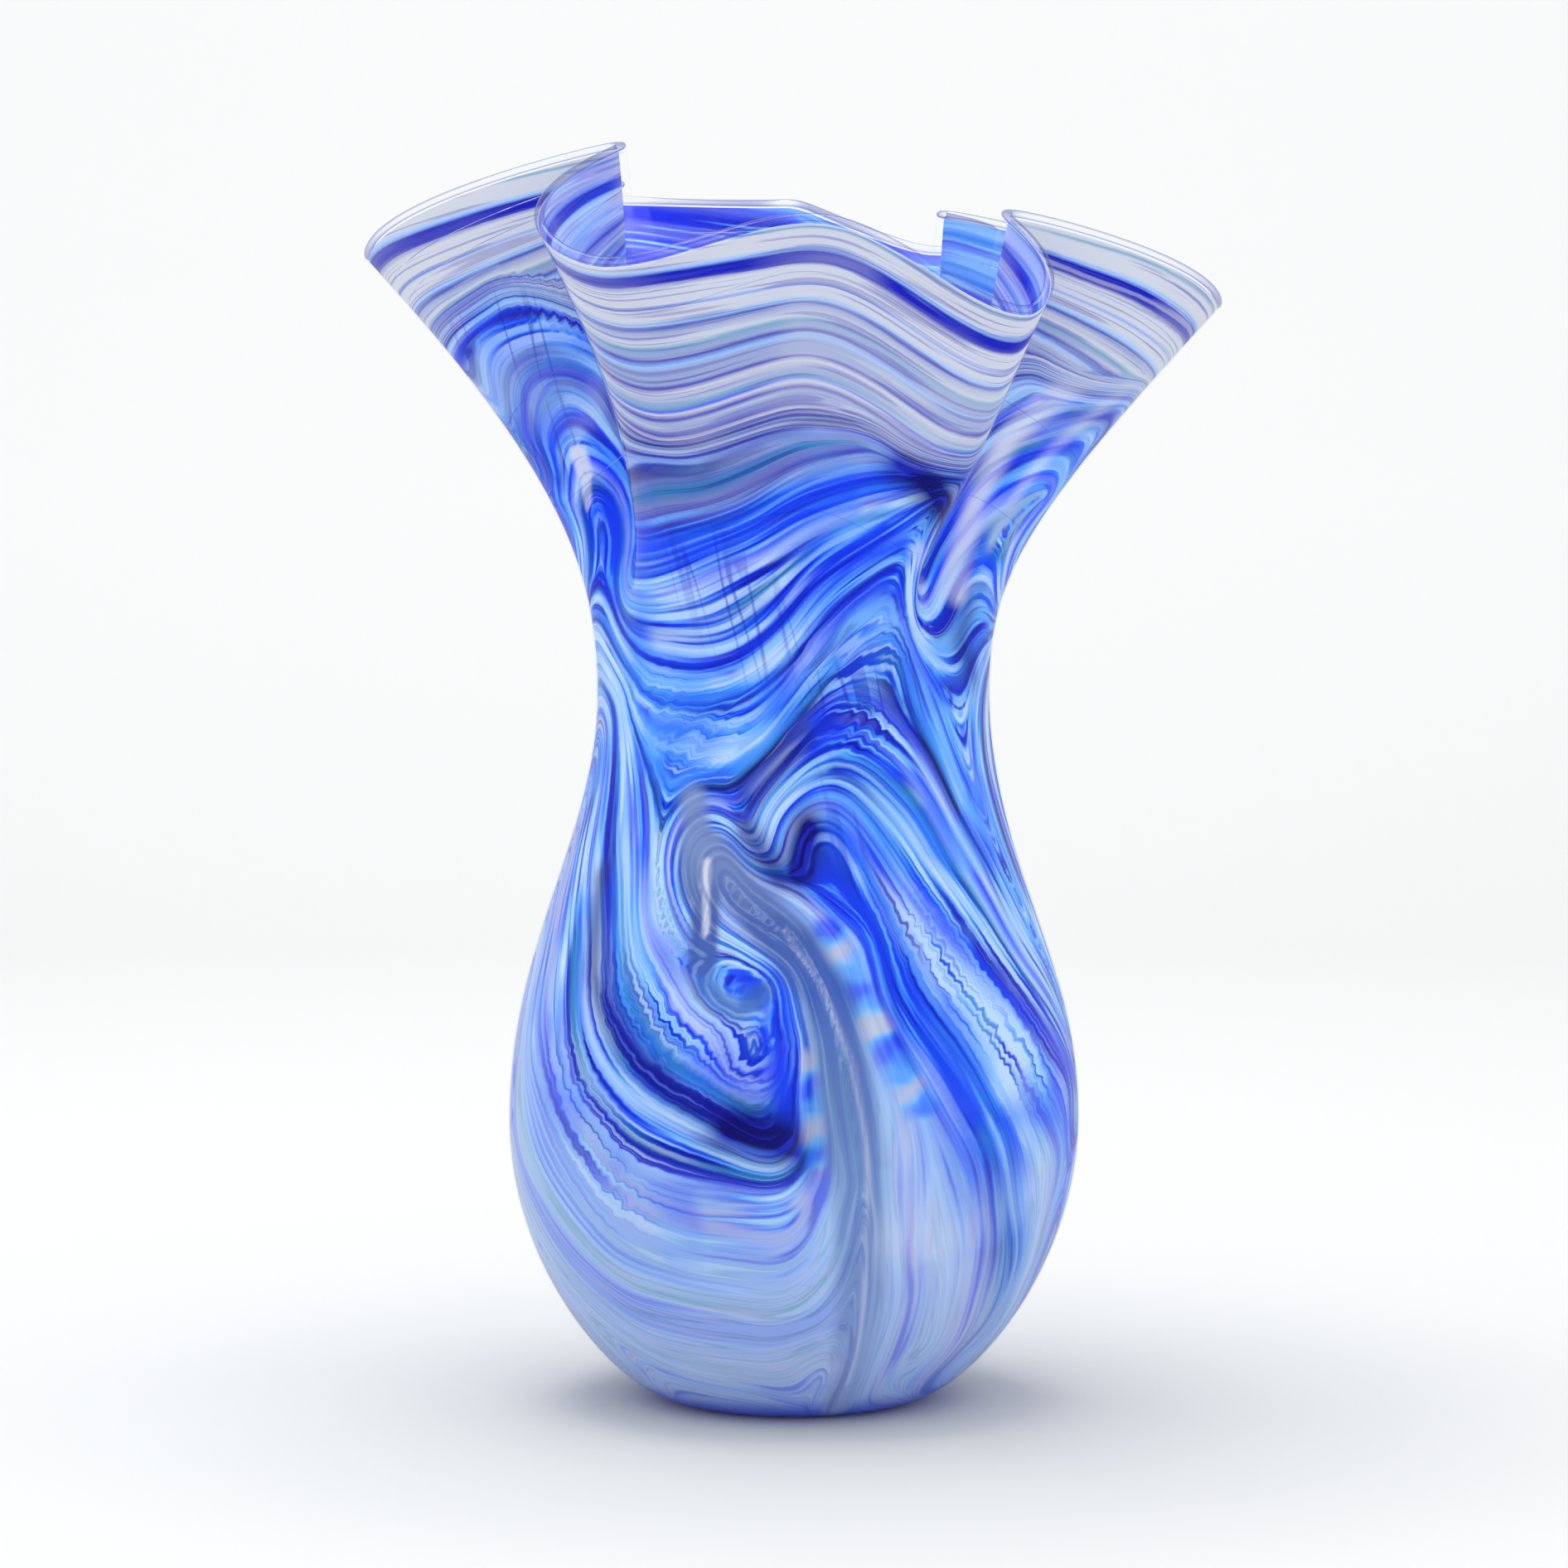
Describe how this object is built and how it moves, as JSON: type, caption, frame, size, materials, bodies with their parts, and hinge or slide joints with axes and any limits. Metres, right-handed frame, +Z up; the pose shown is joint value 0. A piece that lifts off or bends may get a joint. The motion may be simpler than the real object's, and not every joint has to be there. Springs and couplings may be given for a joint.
{
  "type": "art glass vase",
  "caption": "Hand blown art glass vase with a round body, narrow waist and wide ruffled mouth, cased in clear glass over raked blue and white threads.",
  "frame": {"origin": "on the table, at the centre of the foot", "axes": "+Z up along the vase's axis, -Y the front face, +X the vase's right seen from the front"},
  "size_m": [0.1856, 0.1711, 0.274],
  "materials": {
    "clear_casing": "fire-polished clear glass",
    "raked_colours": "raked streaks of cobalt, violet, pale blue and milky glass",
    "violet_threads": "fine violet and blue threads on a milky ground",
    "opal_threads": "milky ground with a few pale threads",
    "cobalt_thread": "one bold cobalt thread",
    "clear_gather": "fire-polished clear glass",
    "clear_lip": "fire-polished clear bead",
    "ground_clear": "ground and polished clear glass"
  },
  "bodies": {
    "root": {"outer_casing": "clear_casing", "raked_overlay": "raked_colours", "violet_thread_wrap": "violet_threads", "opal_thread_wrap": "opal_threads", "cobalt_lip_thread": "cobalt_thread", "opal_lip_wrap": "opal_threads", "inner_gather": "clear_gather", "lip_bead": "clear_lip", "pontil_seal": "ground_clear"}
  },
  "joints": []
}
